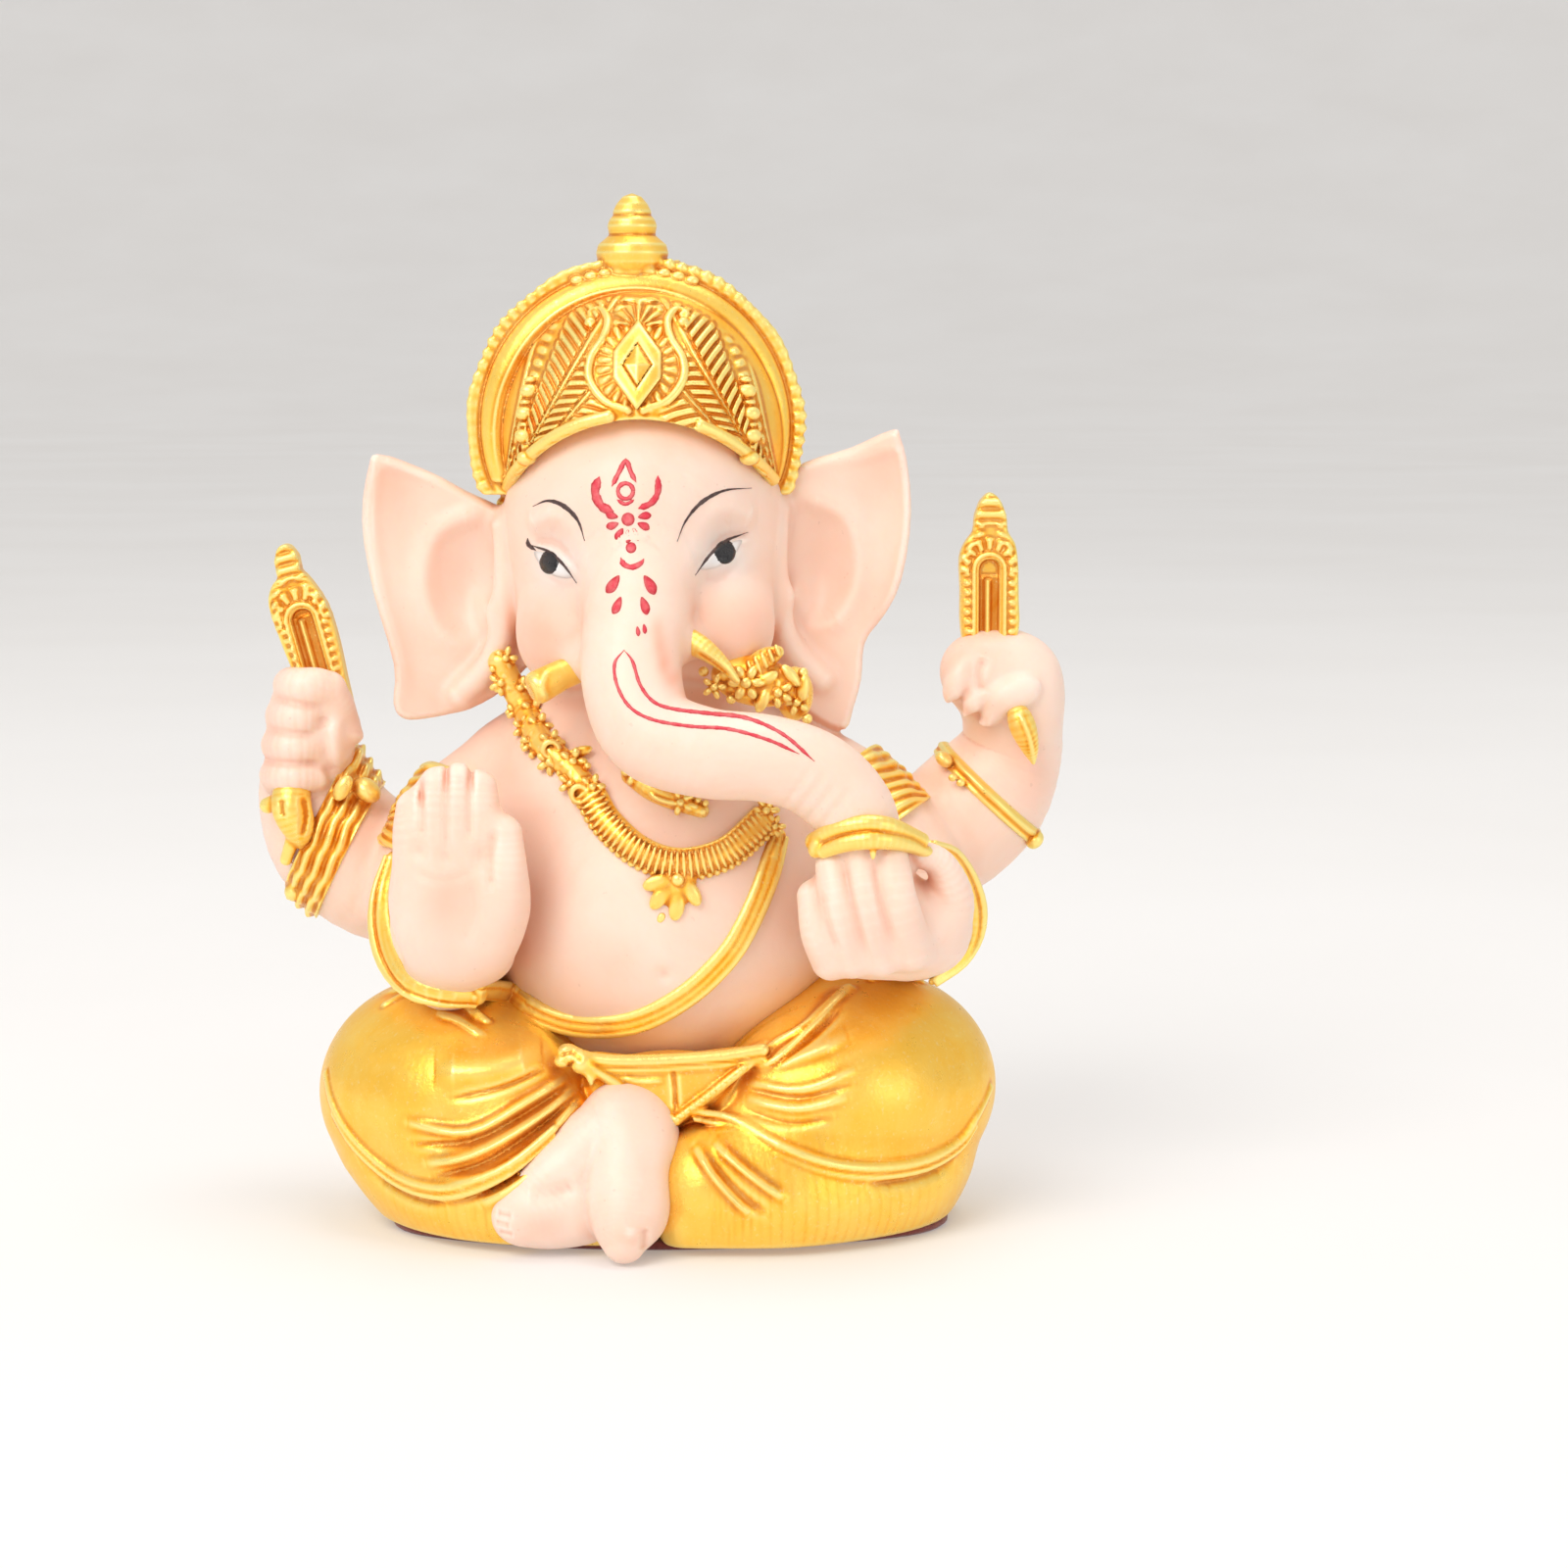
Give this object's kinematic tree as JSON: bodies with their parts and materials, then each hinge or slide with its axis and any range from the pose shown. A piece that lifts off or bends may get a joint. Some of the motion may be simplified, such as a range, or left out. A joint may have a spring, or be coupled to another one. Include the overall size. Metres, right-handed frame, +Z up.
{
  "type": "ganesha idol",
  "caption": "Small seated elephant-headed household idol with an open palm, a curled trunk, raised rear arms, a tall crown and a gold-painted wrapped garment, resting on a thin pad.",
  "frame": {"origin": "underside of the base pad, under the figure's own middle axis", "axes": "+Z up; the figure faces -Y; +X is the figure's left side"},
  "size_m": [0.0802, 0.0458, 0.1],
  "materials": {
    "resin": "marble-dust resin, ivory pink, satin",
    "gold_paint": "metallic gold paint, brushed on by hand",
    "felt": "dark red felt"
  },
  "bodies": {
    "root": {"base_pad": "felt", "dhoti_seat": "gold_paint", "dhoti_right_leg": "gold_paint", "dhoti_left_leg": "gold_paint", "dhoti_hem_right": "gold_paint", "dhoti_hem_left": "gold_paint", "front_pleat": "gold_paint", "waist_belt": "gold_paint", "belt_knot": "gold_paint", "right_foot": "resin", "left_foot": "resin", "torso": "resin", "sacred_cord": "gold_paint", "shawl_right": "gold_paint", "shawl_left": "gold_paint", "head": "resin", "trunk": "resin", "ear_right": "resin", "ear_left": "resin", "tusk_right": "gold_paint", "tusk_left": "gold_paint", "crown_cap": "gold_paint", "crown_ridge": "gold_paint", "crown_band": "gold_paint", "crown_panel": "gold_paint", "crown_rim": "gold_paint", "crown_scroll_right": "gold_paint", "crown_scroll_left": "gold_paint", "crown_beads_right": "gold_paint", "crown_beads_left": "gold_paint", "crown_jewel_frame": "gold_paint", "crown_jewel": "gold_paint", "crown_finial": "gold_paint", "upper_arm_front_right": "resin", "hand_front_right": "resin", "upper_arm_front_left": "resin", "hand_front_left": "resin", "modak": "resin", "trunk_bowl": "gold_paint", "arm_rear_right": "resin", "hand_rear_right": "resin", "arm_rear_left": "resin", "hand_rear_left": "resin", "axe_right": "gold_paint", "goad_left": "gold_paint", "armlet_front_right": "gold_paint", "armlet_front_left": "gold_paint", "armlet_rear_right": "gold_paint", "armlet_rear_left": "gold_paint", "garland": "gold_paint", "garland_shoulder": "gold_paint", "choker": "gold_paint", "pendant": "gold_paint"}
  },
  "joints": []
}
